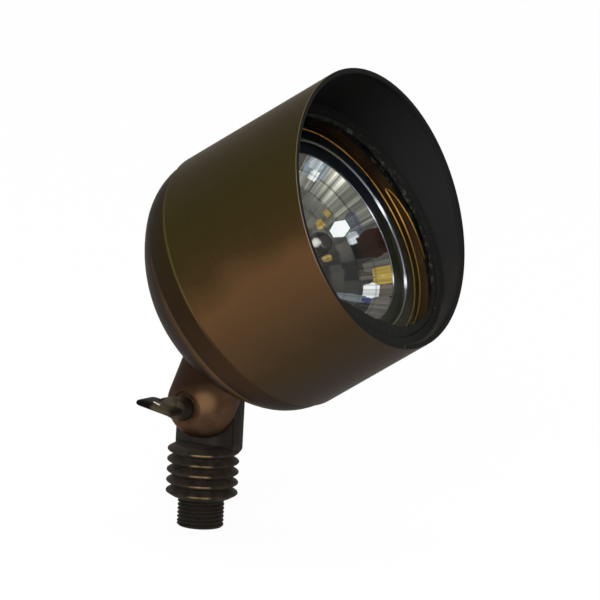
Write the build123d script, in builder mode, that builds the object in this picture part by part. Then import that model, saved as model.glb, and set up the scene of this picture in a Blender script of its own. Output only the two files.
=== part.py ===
from build123d import *
import math
import os

# A brass landscape spotlight: a bowl-backed lamp housing with a slanted hood, carried on a tilting
# knuckle above a finned stem whose half-inch pipe thread screws into a ground stake.
# Millimetres. +Z runs up the stem, the origin is the middle of the nipple's lower end, the beam
# leans towards +X, and the tilt axis runs along Y with the thumb screw on the -Y side.

# Nipple and fins of the stem
nipple_diameter = 20.9
nipple_length = 13.2
nipple_chamfer = 0.7
nipple_bore = 12.0
nipple_bore_depth = 30.0
fin_count = 5
fin_pitch = 4.76
fin_diameter = 32.3
fin_root_diameter = 25.6
fin_tip_width = 0.9

# Tongue of the stem, which carries the tilt axis
tongue_width = 30.0
tongue_thickness = 9.4
tongue_skirt = 3.4
tongue_edge_radius = 1.2
tongue_corner_radius = 3.0
hinge_rise = 19.5

# Tilt joint: pivot, sealing ring and the way for the leads
pivot_diameter = 8.0
pivot_end_recess = 1.0
running_clearance = 0.06
parting_gap = 0.2
seal_mid_diameter = 26.0
seal_section = 1.5
seal_groove_depth = 1.4
lead_way = 5.2
lead_way_reach = 9.0

# Ball and arm of the upper knuckle
ball_radius = 15.9
ball_offset = 2.8
spot_face_diameter = 14.8
arm_rise = 35.5
arm_middle = 7.0
lead_race_depth = 8.0
arm_screw_diameter = 4.0
arm_screw_spread = 9.5
arm_screw_depth = 9.0
arm_screw_clearance = 0.15
arm_screw_head_diameter = 7.0
arm_screw_head_height = 2.6
arm_screw_socket = 2.5
pad_width = 11.0
pad_rise = 6.5

# Aim of the head, and the tilt axis's place behind the bowl
aim_angle = 33.9
hinge_clear = 17.0
hinge_swing = 23.4

# Rear housing: a bowl with a spigot that carries the lamp and the hood
bowl_depth = 42.8
bowl_shoulder_radius = 26.9
seam_step = 0.75
housing_wall = 2.2
lamp_gap = 0.5
spigot_taper = 5.0
casting_fit = 0.05
ledge_width = 5.2
ledge_thickness = 2.2
ledge_front = 37.8
hood_seal_section = 1.6
hood_seal_place = 9.0
hood_seal_groove_depth = 1.25
hood_seal_groove_side = 0.3

# Grommet where the leads enter the housing
grommet_wall = 1.3
grommet_flange = 1.6
grommet_thickness = 1.6
grommet_neck = 5.0
fit_clearance = 0.1

# Hood, lens and gaskets
hood_wall = 1.8
hood_slip = 0.4
hood_seam = 0.3
hood_projection = 16.2
hood_slant = 12.6
hood_turn = 10.4
lens_gap = 5.4
lens_thickness = 3.0
lens_edge_gap = 0.6
rear_gasket_thickness = 1.5
rear_gasket_width = 2.0
rear_gasket_squeeze = 0.3
front_gasket_thickness = 1.0
front_gasket_lip = 1.5
ring_thickness = 1.4
ring_width = 4.9
set_screw_diameter = 3.0
set_screw_place = 22.0
set_screw_sink = 0.2
set_screw_gap = 0.05
set_screw_socket = 1.5
weep_notch_radius = 1.2

# Sealed-beam lamp
lamp_diameter = 114.3
lamp_gasket_thickness = 1.8
lamp_gasket_width = 4.6
reflector_flange = 3.0
reflector_rim = 15.6
reflector_depth = 30.0
reflector_facets = 20
reflector_rings = 7
reflector_wall = 3.2
reflector_neck_length = 15.0
cover_thickness = 3.3
cover_rim = 9.8
cover_rim_step = 0.9
cover_crown = 0.8
base_diameter = 19.2
base_clearance = 0.15
base_behind_vertex = 20.0
capsule_diameter = 9.6
capsule_length = 24.0
capsule_seat = 4.0
cap_wall = 0.5
cap_length = 11.0
cap_clear = 2.5
terminal_spread = 6.0
terminal_width = 7.6
terminal_height = 9.0
terminal_thickness = 2.0
terminal_screw_diameter = 3.5
terminal_screw_head_diameter = 6.4
terminal_screw_head_height = 2.2
terminal_slot_width = 0.9

# Spring wire that holds the lamp on its seat
wire_diameter = 1.0
wire_inset = 3.75
wire_step = 0.95
wire_last_turn = 122.0
wire_start_angle = 8.0
wire_hairpin_rise = 6.5
wire_tail_gap = 1.0
wire_tail_angle = 34.0
wire_tail_lift = 3.7
wire_seat_gap = 0.1

# Thumb screw and its washer
washer_thickness = 1.2
washer_diameter = 11.2
washer_gap = 0.1
boss_diameter = 11.6
boss_length = 8.4
boss_round = 4.6
wing_neck_place = 6.0
wing_neck_start = 4.0
wing_neck_reach = 10.4
wing_neck_tip = 1.4
wing_thickness = 2.8
wing_reach = 16.2
wing_near = 4.2
wing_far = 17.0
wing_root = 2.4
wing_corner_radius = 1.2
wing_tip_radius = 2.6
wing_rise = 9.5

# Plug that seals the leads in the nipple
plug_length = 8.0
plug_recess = 1.0
plug_lead_hole = 2.4
plug_lead_spread = 2.2

# Places worked out from the sizes above
lamp_radius = lamp_diameter / 2
spigot_inner = lamp_radius + lamp_gap
spigot_radius = spigot_inner + housing_wall
hood_inner = spigot_radius + hood_slip
hood_radius = hood_inner + hood_wall
bowl_radius = hood_radius - seam_step
shoulder_middle = bowl_radius - bowl_shoulder_radius
nose_radius = (shoulder_middle**2 + bowl_depth**2 - bowl_shoulder_radius**2) / (
    2 * (bowl_depth - bowl_shoulder_radius)
)
nose_middle = nose_radius - bowl_depth
nose_turn = math.degrees(math.atan2(shoulder_middle, nose_middle))
swing = math.radians(hinge_swing)
hinge_behind = (nose_radius + hinge_clear) * math.cos(swing) - nose_middle
hinge_below = (nose_radius + hinge_clear) * math.sin(swing)
nipple_radius = nipple_diameter / 2
fins_top = nipple_length + fin_count * fin_pitch
hinge_height = fins_top + hinge_rise
hinge = Vector(0, 0, hinge_height)
near = Vector(0, -1, 0)
aim = math.radians(aim_angle)
beam = Vector(math.cos(aim), 0, math.sin(aim))
head_up = Vector(-math.sin(aim), 0, math.cos(aim))
seam = hinge + beam * hinge_behind + head_up * hinge_below
head_axis = Axis(seam, beam)
head_profile = Plane(origin=seam, x_dir=head_up, z_dir=(0, 1, 0))
arm_turn = math.radians(aim_angle + arm_rise)
arm_way = Vector(math.cos(arm_turn), 0, math.sin(arm_turn))
ball_centre = hinge + near * ball_offset
pivot_radius = pivot_diameter / 2
pivot_hole = pivot_radius + running_clearance
lead_way_radius = lead_way / 2


def head_plane(place):
    """Plane square to the beam, with X up the head and Y towards the thumb screw side."""
    return Plane(origin=seam + beam * place, x_dir=head_up, z_dir=beam)


def arm_plane(place):
    """Plane square to the arm, with X along the tilt axis, measured from the tilt axis."""
    return Plane(origin=hinge + arm_way * place, x_dir=(0, 1, 0), z_dir=arm_way)


def cross_plane(place):
    """Plane square to the tilt axis, that far out from the parting face on the screw side."""
    return Plane(origin=hinge + near * place, x_dir=(-1, 0, 0), z_dir=near)


# Places along the beam, measured forwards from the seam between the bowl and the hood
lamp_seat = ledge_front + lamp_gasket_thickness
cover_back = lamp_seat + reflector_flange
cover_front = cover_back + cover_thickness
lens_back = cover_front + lens_gap
lens_front = lens_back + lens_thickness
ring_back = lens_front + front_gasket_thickness
ring_front = ring_back + ring_thickness
hood_length = ring_front + hood_projection
spigot_length = lens_back - rear_gasket_thickness - rear_gasket_squeeze
lens_radius = hood_inner - lens_edge_gap


# The bowl's outline is a nose arc on the axis and a shoulder arc that runs into the straight wall.
def bowl_outline(inset):
    """The two arcs of the bowl, drawn that far inside its outer face, from the nose to the seam."""
    CenterArc((0, nose_middle), nose_radius - inset, -90, nose_turn)
    CenterArc((shoulder_middle, 0), bowl_shoulder_radius - inset, nose_turn - 90, 90 - nose_turn)


# Solid bowls used for cutting the arm's saddle and trimming the screw pad
with BuildPart() as bowl_form:
    with BuildSketch(head_profile):
        with BuildLine():
            bowl_outline(0)
            Polyline((bowl_radius, 0), (0, 0), (0, -bowl_depth))
        make_face()
    revolve(axis=head_axis)

with BuildPart() as saddle_form:
    with BuildSketch(head_profile):
        with BuildLine():
            bowl_outline(-casting_fit)
            Polyline((bowl_radius + casting_fit, 0), (0, 0), (0, -bowl_depth - casting_fit))
        make_face()
    revolve(axis=head_axis)

# Where the arm's middle line meets the bowl, measured from the tilt axis
nose_centre = seam + beam * nose_middle
to_nose = nose_centre - (hinge + near * arm_middle)
along = to_nose.dot(arm_way)
arm_length = along - math.sqrt(nose_radius**2 - (to_nose.dot(to_nose) - along**2))
pad_top = arm_length + pad_rise

# Stem casting: nipple, fins and the flat tongue that the head tilts against
fin_radius = fin_diameter / 2
fin_root = fin_root_diameter / 2
stem_outline = [(0, 0), (nipple_radius - nipple_chamfer, 0), (nipple_radius, nipple_chamfer)]
stem_outline.append((nipple_radius, nipple_length))
for fin in range(fin_count):
    fin_foot = nipple_length + fin * fin_pitch
    fin_middle = fin_foot + fin_pitch / 2
    stem_outline.append((fin_root, fin_foot))
    stem_outline.append((fin_radius, fin_middle - fin_tip_width / 2))
    stem_outline.append((fin_radius, fin_middle + fin_tip_width / 2))
stem_outline.append((fin_root, fins_top))
stem_outline.append((0, fins_top))

tongue_foot = fins_top - tongue_skirt
seal_groove = seal_section / 2 + fit_clearance
lead_port_height = hinge_height - lead_way_reach
with BuildPart() as stem_casting:
    with BuildSketch(Plane.XZ):
        with Locations((0, (tongue_foot + hinge_height) / 2)):
            Rectangle(tongue_width, hinge_height - tongue_foot)
        fillet(vertices().group_by(Axis.Y)[0], tongue_corner_radius)
        with Locations((0, hinge_height)):
            Circle(tongue_width / 2)
    extrude(amount=-tongue_thickness)
    fillet(stem_casting.edges().group_by(Axis.Y)[-1], tongue_edge_radius)
    with BuildSketch(Plane.XZ):
        with BuildLine():
            Polyline(*stem_outline, close=True)
        make_face()
    revolve(axis=Axis.Z)
    with BuildSketch(Plane.XY):
        Circle(nipple_bore / 2)
    extrude(amount=nipple_bore_depth, mode=Mode.SUBTRACT)
    with BuildSketch(Plane.XY.offset(nipple_bore_depth - lead_way_radius)):
        with Locations((0, tongue_thickness / 2)):
            Circle(lead_way_radius)
    extrude(amount=lead_port_height + 2 * lead_way_radius - nipple_bore_depth, mode=Mode.SUBTRACT)
    with BuildSketch(Plane.XZ):
        with Locations((0, lead_port_height)):
            Circle(lead_way_radius)
    extrude(amount=-tongue_thickness / 2, mode=Mode.SUBTRACT)
    with BuildSketch(Plane.XZ):
        with Locations((0, hinge_height)):
            Circle(pivot_hole)
    extrude(amount=-tongue_thickness, mode=Mode.SUBTRACT)
    with BuildSketch(Plane.XZ):
        with Locations((0, hinge_height)):
            Circle(seal_mid_diameter / 2 + seal_groove)
            Circle(seal_mid_diameter / 2 - seal_groove, mode=Mode.SUBTRACT)
    extrude(amount=-seal_groove_depth, mode=Mode.SUBTRACT)

# Sealing ring in the tongue's face
with BuildPart() as knuckle_seal:
    seal_middle = seal_groove_depth - seal_section / 2
    with BuildSketch(Plane.YZ.offset(0)):
        with Locations((seal_middle, hinge_height + seal_mid_diameter / 2)):
            Circle(seal_section / 2)
    revolve(axis=Axis(hinge, (0, 1, 0)))

# Plug in the nipple with a hole for each lead
with BuildPart() as lead_plug:
    with BuildSketch(Plane.XY.offset(plug_recess)):
        Circle(nipple_bore / 2 - fit_clearance)
        with GridLocations(2 * plug_lead_spread, 0, 2, 1):
            Circle(plug_lead_hole / 2, mode=Mode.SUBTRACT)
    extrude(amount=plug_length)

# Rear housing: bowl, spigot, lamp ledge, and the pad that the arm is screwed to
ledge_inner = spigot_inner - ledge_width
seal_groove_half = hood_seal_section / 2 + hood_seal_groove_side
lead_offset = -arm_middle
with BuildPart() as screw_pad:
    with BuildSketch(arm_plane(arm_length - pad_rise)):
        with Locations((lead_offset, 0)):
            SlotOverall(2 * arm_screw_spread + pad_width, pad_width, rotation=90)
    extrude(amount=2 * pad_rise)
    add(bowl_form.part, mode=Mode.INTERSECT)

arm_screw_hole = arm_screw_diameter / 2 + arm_screw_clearance
grommet_hole = lead_way_radius + grommet_wall
with BuildPart() as rear_housing:
    with BuildSketch(head_profile):
        with BuildLine():
            bowl_outline(0)
            Polyline(
                (bowl_radius, 0),
                (spigot_radius, 0),
                (spigot_radius, hood_seal_place - seal_groove_half),
                (spigot_radius - hood_seal_groove_depth, hood_seal_place - seal_groove_half),
                (spigot_radius - hood_seal_groove_depth, hood_seal_place + seal_groove_half),
                (spigot_radius, hood_seal_place + seal_groove_half),
                (spigot_radius, spigot_length),
                (spigot_inner, spigot_length),
                (spigot_inner, ledge_front),
                (ledge_inner, ledge_front),
                (ledge_inner, ledge_front - ledge_thickness),
                (spigot_inner, ledge_front - ledge_thickness),
                (spigot_inner, spigot_taper),
                (bowl_radius - housing_wall, 0),
            )
            bowl_outline(housing_wall)
            Line((0, -bowl_depth + housing_wall), (0, -bowl_depth))
        make_face()
    revolve(axis=head_axis)
    add(screw_pad.part)
    with BuildSketch(arm_plane(0)):
        with Locations((lead_offset, -arm_screw_spread), (lead_offset, arm_screw_spread)):
            Circle(arm_screw_hole)
        with Locations((lead_offset, 0)):
            Circle(grommet_hole)
    extrude(amount=pad_top + pad_rise, mode=Mode.SUBTRACT)
    with BuildSketch(arm_plane(pad_top)):
        with Locations((lead_offset, -arm_screw_spread), (lead_offset, arm_screw_spread)):
            Circle(arm_screw_head_diameter / 2 + fit_clearance)
    extrude(amount=arm_screw_head_height, mode=Mode.SUBTRACT)

# Sealing ring between the spigot and the hood
with BuildPart() as hood_seal:
    hood_seal_middle = spigot_radius - hood_seal_groove_depth + hood_seal_section / 2
    with BuildSketch(head_profile):
        with Locations((hood_seal_middle, hood_seal_place)):
            Circle(hood_seal_section / 2)
    revolve(axis=head_axis)

# Upper knuckle: half a ball on a short arm, saddled to the bowl and faced flat for the screw
spot_radius = spot_face_diameter / 2
spot_place = ball_offset + math.sqrt(ball_radius**2 - spot_radius**2)
race_inner = lead_way_reach - lead_way_radius
race_outer = lead_way_reach + lead_way_radius
with BuildPart() as knuckle_arm:
    with Locations(ball_centre):
        Sphere(ball_radius)
    with BuildSketch(Plane(origin=ball_centre, x_dir=(0, 1, 0), z_dir=arm_way)):
        Circle(ball_radius)
    extrude(amount=arm_length + ball_radius)
    add(saddle_form.part, mode=Mode.SUBTRACT)
    split(bisect_by=Plane(origin=hinge + near * parting_gap, z_dir=near), keep=Keep.TOP)
    with BuildSketch(cross_plane(spot_place)):
        Circle(spot_radius)
    extrude(amount=ball_radius, mode=Mode.SUBTRACT)
    with BuildSketch(cross_plane(0)):
        Circle(pivot_hole)
    extrude(amount=spot_place, mode=Mode.SUBTRACT)
    with BuildSketch(cross_plane(0)):
        Circle(race_outer)
        Circle(race_inner, mode=Mode.SUBTRACT)
    extrude(amount=lead_race_depth, mode=Mode.SUBTRACT)
    with BuildSketch(arm_plane(lead_way_reach)):
        with Locations((lead_offset, 0)):
            Circle(lead_way_radius)
    extrude(amount=arm_length, mode=Mode.SUBTRACT)
    with BuildSketch(arm_plane(arm_length - arm_screw_depth)):
        with Locations((lead_offset, -arm_screw_spread), (lead_offset, arm_screw_spread)):
            Circle(arm_screw_hole)
    extrude(amount=2 * arm_screw_depth, mode=Mode.SUBTRACT)

# Two socket-head screws that pull the arm against the bowl
with BuildPart() as arm_screws:
    with BuildSketch(arm_plane(arm_length - arm_screw_depth + pad_rise / 2)):
        with Locations((lead_offset, -arm_screw_spread), (lead_offset, arm_screw_spread)):
            Circle(arm_screw_diameter / 2)
    extrude(amount=arm_screw_depth + pad_rise / 2)
    with BuildSketch(arm_plane(pad_top)):
        with Locations((lead_offset, -arm_screw_spread), (lead_offset, arm_screw_spread)):
            Circle(arm_screw_head_diameter / 2)
    extrude(amount=arm_screw_head_height)
    with BuildSketch(arm_plane(pad_top + arm_screw_head_height)):
        with Locations((lead_offset, -arm_screw_spread), (lead_offset, arm_screw_spread)):
            RegularPolygon(arm_screw_socket, 6, major_radius=False)
    extrude(amount=-arm_screw_head_height / 2, mode=Mode.SUBTRACT)

# Rubber grommet round the leads, with its flange on the pad
with BuildPart() as lead_grommet:
    with BuildSketch(arm_plane(pad_top - grommet_neck)):
        with Locations((lead_offset, 0)):
            Circle(grommet_hole - fit_clearance)
    extrude(amount=grommet_neck)
    with BuildSketch(arm_plane(pad_top)):
        with Locations((lead_offset, 0)):
            Circle(grommet_hole + grommet_flange)
    extrude(amount=grommet_thickness)
    with BuildSketch(arm_plane(pad_top - grommet_neck)):
        with Locations((lead_offset, 0)):
            Circle(lead_way_radius)
    extrude(amount=grommet_neck + grommet_thickness, mode=Mode.SUBTRACT)

# Soft ring under the lamp's rim
with BuildPart() as lamp_gasket:
    with BuildSketch(head_plane(ledge_front)):
        Circle(lamp_radius)
        Circle(lamp_radius - lamp_gasket_width, mode=Mode.SUBTRACT)
    extrude(amount=lamp_gasket_thickness)

# Lamp reflector: a glass bowl whose silvered inside is rings of flat facets on a parabola
opening_radius = lamp_radius - reflector_rim
vertex = cover_back - reflector_depth
focus_length = opening_radius**2 / (4 * reflector_depth)
base_radius = base_diameter / 2
neck_bore = base_radius + base_clearance
neck_place = vertex + neck_bore**2 / (4 * focus_length)
ring_step = (opening_radius - neck_bore) / reflector_rings
with BuildPart() as facet_form:
    for ring in range(reflector_rings + 1):
        ring_radius = neck_bore + ring * ring_step
        with BuildSketch(head_plane(vertex + ring_radius**2 / (4 * focus_length))):
            RegularPolygon(ring_radius, reflector_facets)
    loft(ruled=True)

neck_outer = neck_bore + reflector_wall
neck_back = neck_place - reflector_neck_length
bowl_mouth = opening_radius + reflector_wall
bowl_bulge_radius = (neck_outer + bowl_mouth) * 0.6
bowl_bulge_place = neck_place + (lamp_seat - neck_place) * 0.3
with BuildPart() as lamp_reflector:
    with BuildSketch(head_profile):
        with BuildLine():
            Polyline(
                (neck_bore, neck_back),
                (neck_bore, cover_back),
                (lamp_radius, cover_back),
                (lamp_radius, lamp_seat),
                (bowl_mouth, lamp_seat),
            )
            ThreePointArc(
                (bowl_mouth, lamp_seat),
                (bowl_bulge_radius, bowl_bulge_place),
                (neck_outer, neck_place - reflector_wall),
            )
            Polyline(
                (neck_outer, neck_place - reflector_wall),
                (neck_outer, neck_back),
                (neck_bore, neck_back),
            )
        make_face()
    revolve(axis=head_axis)
    add(facet_form.part, mode=Mode.SUBTRACT)

# Clear cover sealed to the reflector's rim, with a raised rim line and a slightly crowned middle
cover_rim_radius = lamp_radius - cover_rim
crown_radius = (cover_rim_radius**2 + cover_crown**2) / (2 * cover_crown)
crown_top = cover_front - cover_rim_step + cover_crown
crown_turn = math.degrees(math.asin(cover_rim_radius / crown_radius))
with BuildPart() as lamp_cover:
    with BuildSketch(head_profile):
        with BuildLine():
            Polyline(
                (0, crown_top),
                (0, cover_back),
                (lamp_radius, cover_back),
                (lamp_radius, cover_front),
                (cover_rim_radius, cover_front),
                (cover_rim_radius, cover_front - cover_rim_step),
            )
            CenterArc((0, crown_top - crown_radius), crown_radius, 90 - crown_turn, crown_turn)
        make_face()
    revolve(axis=head_axis)

# Ceramic base in the reflector's neck, with a seat for the capsule
base_back = vertex - base_behind_vertex
base_front = neck_place
capsule_radius = capsule_diameter / 2
with BuildPart() as lamp_base:
    with BuildSketch(head_plane(base_back)):
        Circle(base_radius)
    extrude(amount=base_front - base_back)
    with BuildSketch(head_plane(base_front)):
        Circle(capsule_radius + fit_clearance)
    extrude(amount=-capsule_seat, mode=Mode.SUBTRACT)

# Halogen capsule with a rounded tip
capsule_back = base_front - capsule_seat
capsule_shoulder = capsule_back + capsule_length - capsule_radius
with BuildPart() as lamp_capsule:
    with BuildSketch(head_profile):
        with BuildLine():
            Polyline((0, capsule_back), (capsule_radius, capsule_back), (capsule_radius, capsule_shoulder))
            CenterArc((0, capsule_shoulder), capsule_radius, 0, 90)
            Line((0, capsule_shoulder + capsule_radius), (0, capsule_back))
        make_face()
    revolve(axis=head_axis)

# Polished glare cap drawn over the capsule's tip
cap_inner = capsule_radius + fit_clearance
cap_outer = cap_inner + cap_wall
cap_foot = capsule_shoulder + cap_outer - cap_length
with BuildPart() as glare_cap:
    with BuildSketch(head_profile):
        with BuildLine():
            CenterArc((0, capsule_shoulder), cap_outer, 0, 90)
            Polyline((cap_outer, capsule_shoulder), (cap_outer, cap_foot), (cap_inner, cap_foot))
            Line((cap_inner, cap_foot), (cap_inner, capsule_shoulder))
            CenterArc((0, capsule_shoulder), cap_inner, 0, 90)
            Line((0, capsule_shoulder + cap_inner), (0, capsule_shoulder + cap_outer))
        make_face()
    revolve(axis=head_axis)

# Two terminal plates on the back of the lamp's base, with their binding screws
with BuildPart() as lamp_terminals:
    with BuildSketch(head_plane(base_back)):
        with GridLocations(0, 2 * terminal_spread, 1, 2):
            Rectangle(terminal_height, terminal_width)
            Circle(terminal_screw_diameter / 2 + fit_clearance, mode=Mode.SUBTRACT)
    extrude(amount=-terminal_thickness)

terminal_back = base_back - terminal_thickness
with BuildPart() as terminal_screws:
    with BuildSketch(head_plane(terminal_back)):
        with GridLocations(0, 2 * terminal_spread, 1, 2):
            Circle(terminal_screw_head_diameter / 2)
    extrude(amount=-terminal_screw_head_height)
    with BuildSketch(head_plane(base_back)):
        with GridLocations(0, 2 * terminal_spread, 1, 2):
            Circle(terminal_screw_diameter / 2)
    extrude(amount=-terminal_thickness)
    with BuildSketch(head_plane(terminal_back - terminal_screw_head_height)):
        with GridLocations(0, 2 * terminal_spread, 1, 2):
            Rectangle(terminal_screw_head_diameter, terminal_slot_width)
    extrude(amount=terminal_screw_head_height / 2, mode=Mode.SUBTRACT)

# Spring wire: over a full turn in one plane, drawn as half turns whose radius steps in each time. Its
# outer end turns back in a hairpin on the far side, leans forward and runs out as a tail.
wire_radius = wire_diameter / 2
wire_place = cover_front + wire_seat_gap + wire_radius
wire_start = math.radians(wire_start_angle)
wire_plane = Plane(
    origin=seam + beam * wire_place,
    x_dir=near * -math.cos(wire_start) + head_up * math.sin(wire_start),
    z_dir=-beam,
)
wire_outer_radius = lamp_radius - wire_inset
tail_radius = spigot_inner - wire_tail_gap - wire_radius
tail_turn = math.radians(wire_tail_angle)
tail_way = wire_plane.x_dir * math.sin(tail_turn) - wire_plane.y_dir * math.cos(tail_turn)


def wire_point(radius, angle, lift):
    """Point of the wire's plane at that radius and angle, lifted that far towards the lens."""
    turn = math.radians(angle)
    return (radius * math.cos(turn), radius * math.sin(turn), -lift)


with BuildPart() as lamp_spring_wire:
    with BuildLine(wire_plane) as wire_path:
        Spline(
            wire_point(tail_radius, wire_tail_angle, wire_tail_lift),
            wire_point(tail_radius, wire_tail_angle / 2, wire_tail_lift),
            wire_point(tail_radius, 0, wire_tail_lift / 2),
            wire_point((tail_radius + wire_outer_radius) / 2, -wire_hairpin_rise, wire_diameter),
            wire_point(wire_outer_radius, 0, 0),
            tangents=(tail_way, wire_plane.y_dir),
        )
        half_turns = [180, 180, wire_last_turn]
        middle = 0
        for half, sweep_angle in enumerate(half_turns):
            half_radius = wire_outer_radius - half * wire_step
            CenterArc((middle, 0), half_radius, 180 * (half % 2), sweep_angle)
            middle = -wire_step - middle
    with BuildSketch(Plane(origin=wire_path.line @ 0, z_dir=wire_path.line % 0)):
        Circle(wire_radius)
    sweep(path=wire_path.line)
print("least gap between the spring wire's turns", round(2 * wire_step - wire_diameter, 2))

# Hood: a plain tube with a slanted mouth, longest at its top, and a weep notch at its lowest point
hood_top = head_up * math.cos(math.radians(hood_turn)) - near * math.sin(math.radians(hood_turn))
mouth = Plane(
    origin=seam + beam * hood_length,
    z_dir=beam - hood_top * math.tan(math.radians(hood_slant)),
)
set_screw_hole = set_screw_diameter / 2 + running_clearance
set_screw_length = hood_radius - set_screw_sink - spigot_radius - set_screw_gap
set_screw_plane = Plane(
    origin=seam + beam * set_screw_place - hood_top * (hood_radius - set_screw_sink),
    x_dir=beam,
    z_dir=hood_top,
)
mouth_reach = hood_length - hood_radius * math.tan(math.radians(hood_slant))
weep_plane = Plane(origin=seam + beam * mouth_reach - hood_top * hood_radius, x_dir=beam, z_dir=hood_top)
with BuildPart() as hood:
    with BuildSketch(head_plane(hood_seam)):
        Circle(hood_radius)
        Circle(hood_inner, mode=Mode.SUBTRACT)
    extrude(amount=hood_length + hood_radius)
    split(bisect_by=mouth, keep=Keep.BOTTOM)
    with BuildSketch(set_screw_plane):
        Circle(set_screw_hole)
    extrude(amount=2 * hood_wall, both=True, mode=Mode.SUBTRACT)
    with BuildSketch(weep_plane):
        Circle(weep_notch_radius)
    extrude(amount=2 * hood_wall, both=True, mode=Mode.SUBTRACT)

# Flat ring soldered into the hood, which the lens is sealed against
ring_outer = hood_inner - casting_fit
ring_inner = ring_outer - ring_width
with BuildPart() as lens_ring:
    with BuildSketch(head_plane(ring_back)):
        Circle(ring_outer)
        Circle(ring_inner, mode=Mode.SUBTRACT)
    extrude(amount=ring_thickness)

# Set screw under the hood, which holds it on the spigot
with BuildPart() as hood_set_screw:
    with BuildSketch(set_screw_plane):
        Circle(set_screw_diameter / 2)
    extrude(amount=set_screw_length)
    with BuildSketch(set_screw_plane):
        RegularPolygon(set_screw_socket / 2, 6, major_radius=False)
    extrude(amount=set_screw_length / 2, mode=Mode.SUBTRACT)

# Front gasket, flat lens and rear gasket, stacked behind the ring
with BuildPart() as front_gasket:
    with BuildSketch(head_plane(lens_front)):
        Circle(lens_radius)
        Circle(ring_inner - front_gasket_lip, mode=Mode.SUBTRACT)
    extrude(amount=front_gasket_thickness)

with BuildPart() as lens:
    with BuildSketch(head_plane(lens_back)):
        Circle(lens_radius)
    extrude(amount=lens_thickness)

with BuildPart() as rear_gasket:
    with BuildSketch(head_plane(lens_back)):
        Circle(lens_radius)
        Circle(lens_radius - rear_gasket_width, mode=Mode.SUBTRACT)
    extrude(amount=-rear_gasket_thickness)

# Washer under the thumb screw
with BuildPart() as thumb_washer:
    with BuildSketch(cross_plane(spot_place + washer_gap)):
        Circle(washer_diameter / 2)
        Circle(pivot_hole, mode=Mode.SUBTRACT)
    extrude(amount=washer_thickness)

# Thumb screw: the tilt pivot, a domed boss, and one flat wing on a tapered neck to one side
boss_foot = spot_place + washer_gap + washer_thickness
wing_turn = math.radians(wing_rise)
wing_way = Vector(-math.cos(wing_turn), 0, math.sin(wing_turn))
wing_plane = Plane(
    origin=hinge + near * boss_foot,
    x_dir=wing_way,
    z_dir=(math.sin(wing_turn), 0, math.cos(wing_turn)),
)
wing_neck_plane = Plane(origin=hinge + near * (boss_foot + wing_neck_place), x_dir=near, z_dir=wing_way)
wing_neck_radius = boss_diameter / 2 - fit_clearance
with BuildPart() as thumb_screw:
    with BuildSketch(cross_plane(pivot_end_recess - tongue_thickness)):
        Circle(pivot_radius)
    extrude(amount=tongue_thickness - pivot_end_recess + boss_foot)
    with BuildSketch(cross_plane(boss_foot)):
        Circle(boss_diameter / 2)
    extrude(amount=boss_length)
    fillet(thumb_screw.edges().group_by(Axis.Y)[0], boss_round)
    with BuildSketch(wing_neck_plane):
        Circle(wing_neck_tip)
    with BuildSketch(wing_neck_plane.offset(wing_neck_start)):
        Circle(wing_neck_radius)
    with BuildSketch(wing_neck_plane.offset(wing_neck_reach)):
        Circle(wing_neck_tip)
    loft(ruled=True)
    with BuildSketch(wing_plane):
        with BuildLine():
            Polyline(
                (-wing_root, wing_near),
                (wing_reach, wing_near),
                (wing_reach, wing_far),
                (-wing_root, wing_far),
                close=True,
            )
        make_face()
        fillet(vertices().group_by(Axis.X)[-1].sort_by(Axis.Y)[-1], wing_tip_radius)
        fillet(vertices().group_by(Axis.X)[-1].sort_by(Axis.Y)[0], wing_corner_radius)
        fillet(vertices().group_by(Axis.X)[0].sort_by(Axis.Y)[-1], wing_corner_radius)
    extrude(amount=wing_thickness / 2, both=True)

pieces = {
    "stem_casting": stem_casting,
    "knuckle_seal": knuckle_seal,
    "lead_plug": lead_plug,
    "rear_housing": rear_housing,
    "hood_seal": hood_seal,
    "knuckle_arm": knuckle_arm,
    "arm_screws": arm_screws,
    "lead_grommet": lead_grommet,
    "lamp_gasket": lamp_gasket,
    "lamp_reflector": lamp_reflector,
    "lamp_cover": lamp_cover,
    "lamp_base": lamp_base,
    "lamp_capsule": lamp_capsule,
    "glare_cap": glare_cap,
    "lamp_terminals": lamp_terminals,
    "terminal_screws": terminal_screws,
    "lamp_spring_wire": lamp_spring_wire,
    "hood": hood,
    "lens_ring": lens_ring,
    "hood_set_screw": hood_set_screw,
    "front_gasket": front_gasket,
    "lens": lens,
    "rear_gasket": rear_gasket,
    "thumb_washer": thumb_washer,
    "thumb_screw": thumb_screw,
}
os.makedirs("parts", exist_ok=True)
for name, piece in pieces.items():
    piece.part.label = name
    export_step(piece.part, f"parts/{name}.step")
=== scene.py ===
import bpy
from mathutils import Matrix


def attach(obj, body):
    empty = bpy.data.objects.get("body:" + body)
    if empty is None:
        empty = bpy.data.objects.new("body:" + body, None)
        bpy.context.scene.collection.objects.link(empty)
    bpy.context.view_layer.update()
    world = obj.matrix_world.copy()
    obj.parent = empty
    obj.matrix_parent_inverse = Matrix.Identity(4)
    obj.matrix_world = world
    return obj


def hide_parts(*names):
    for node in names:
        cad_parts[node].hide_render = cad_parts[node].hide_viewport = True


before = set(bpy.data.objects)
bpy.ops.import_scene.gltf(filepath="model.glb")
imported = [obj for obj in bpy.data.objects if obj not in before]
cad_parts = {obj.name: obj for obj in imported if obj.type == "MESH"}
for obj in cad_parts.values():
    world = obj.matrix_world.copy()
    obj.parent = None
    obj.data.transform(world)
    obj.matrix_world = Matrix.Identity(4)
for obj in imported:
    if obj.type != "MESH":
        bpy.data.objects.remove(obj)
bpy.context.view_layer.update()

import math

import bmesh
import bpy
import numpy as np
from mathutils import Matrix

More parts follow.
